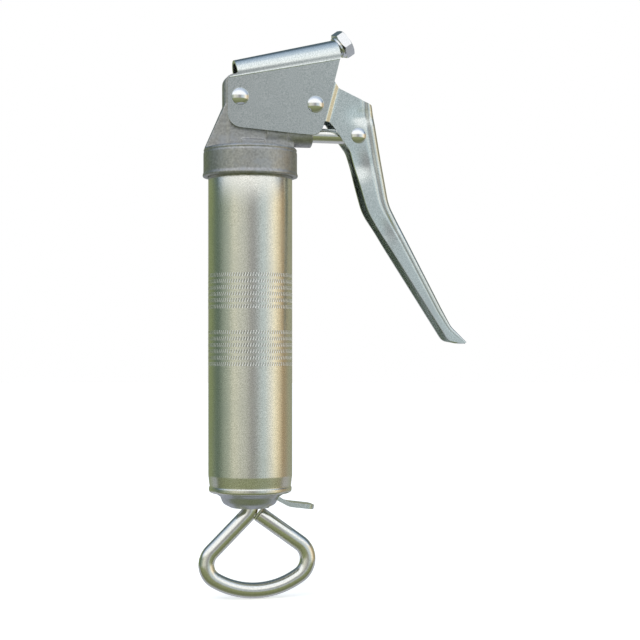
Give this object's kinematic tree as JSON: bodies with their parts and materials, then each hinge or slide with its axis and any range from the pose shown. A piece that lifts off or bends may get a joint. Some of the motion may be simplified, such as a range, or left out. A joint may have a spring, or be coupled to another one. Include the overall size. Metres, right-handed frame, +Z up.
{
  "type": "grease gun",
  "caption": "One-hand lever grease gun: round barrel with loop-handled pull rod, cast head, folded link, riveted channel lever and hexagonal outlet.",
  "frame": {"origin": "on the barrel's axis at the lower rim of its rolled foot lip", "axes": "+Z up the barrel to the head, +X to the lever's side, +Y across the lever's plane"},
  "size_m": [0.1866, 0.0648, 0.3887],
  "materials": {
    "zinc_barrel": "speckled zinc plate with a warm tint",
    "zinc_steel": "satin zinc plate",
    "satin_zinc": "blue-grey satin zinc plate",
    "die_cast": "dull die-cast zinc",
    "bright_rod": "bright zinc plate",
    "bright_steel": "turned, bright",
    "bright_rivet": "polished dome",
    "spring_steel": "plain wire",
    "brass": "machined",
    "rubber": "moulded"
  },
  "bodies": {
    "gun": {"head_casting": "die_cast", "barrel": "zinc_barrel", "barrel_gasket": "rubber", "end_cap": "zinc_steel", "cap_bush": "brass", "rod_guide": "zinc_steel", "gland_nut": "bright_steel", "plunger_seal": "rubber", "valve_seat": "brass", "check_spring": "spring_steel", "outlet_tube": "bright_steel", "outlet_fitting": "bright_steel", "return_spring": "spring_steel", "follower_spring": "spring_steel", "latch_spring": "spring_steel"},
    "check_ball": {"check_ball": "bright_steel"},
    "link": {"yoke_link": "satin_zinc", "head_rivet": "bright_rivet", "head_washers": "zinc_steel", "fulcrum_rivet": "bright_rivet", "fulcrum_washers": "zinc_steel"},
    "lever": {"lever": "satin_zinc", "plunger_rivet": "bright_rivet"},
    "plunger": {"plunger": "bright_steel"},
    "pull_rod": {"pull_rod": "bright_rod", "follower_plate": "zinc_steel", "follower_cup": "rubber", "follower_washer": "zinc_steel", "follower_nut": "zinc_steel"},
    "latch": {"rod_latch": "zinc_steel"}
  },
  "joints": [
    {"name": "link_hinge", "type": "hinge", "parent": "gun", "child": "link", "pos_m": [-0.0085, 0, 0.2686], "axis": [0, -1, 0], "range_deg": [0, 13]},
    {"name": "lever_hinge", "type": "hinge", "parent": "link", "child": "lever", "pos_m": [0.043, 0, 0.2647], "axis": [0, 1, 0], "range_deg": [0, 38], "stiffness_Nm_per_rad": 1.5, "springref_deg": -28.65},
    {"name": "plunger_slide", "type": "slide", "parent": "gun", "child": "plunger", "axis": [-1, 0, 0], "range_m": [0, 0.0115], "deforming": ["return_spring"]},
    {"name": "check_ball_lift", "type": "slide", "parent": "gun", "child": "check_ball", "axis": [0.8151, 0, 0.5793], "range_m": [0, 0.0015], "stiffness_N_per_m": 150, "springref_m": -0.002, "deforming": ["check_spring"]},
    {"name": "rod_slide", "type": "slide", "parent": "gun", "child": "pull_rod", "axis": [0, 0, -1], "range_m": [0, 0.15], "stiffness_N_per_m": 200, "springref_m": -0.1, "deforming": ["follower_spring"]},
    {"name": "latch_tilt", "type": "hinge", "parent": "gun", "child": "latch", "pos_m": [-0.016, 0, 0.00455], "axis": [0, -1, 0], "range_deg": [0, 2.5], "stiffness_Nm_per_rad": 0.6, "springref_deg": -17.19, "deforming": ["latch_spring"]}
  ],
  "couplings": [
    {"joint": "link_hinge", "follows": "lever_hinge", "ratio": 0.336},
    {"joint": "plunger_slide", "follows": "lever_hinge", "m_per_rad": 0.0168}
  ]
}
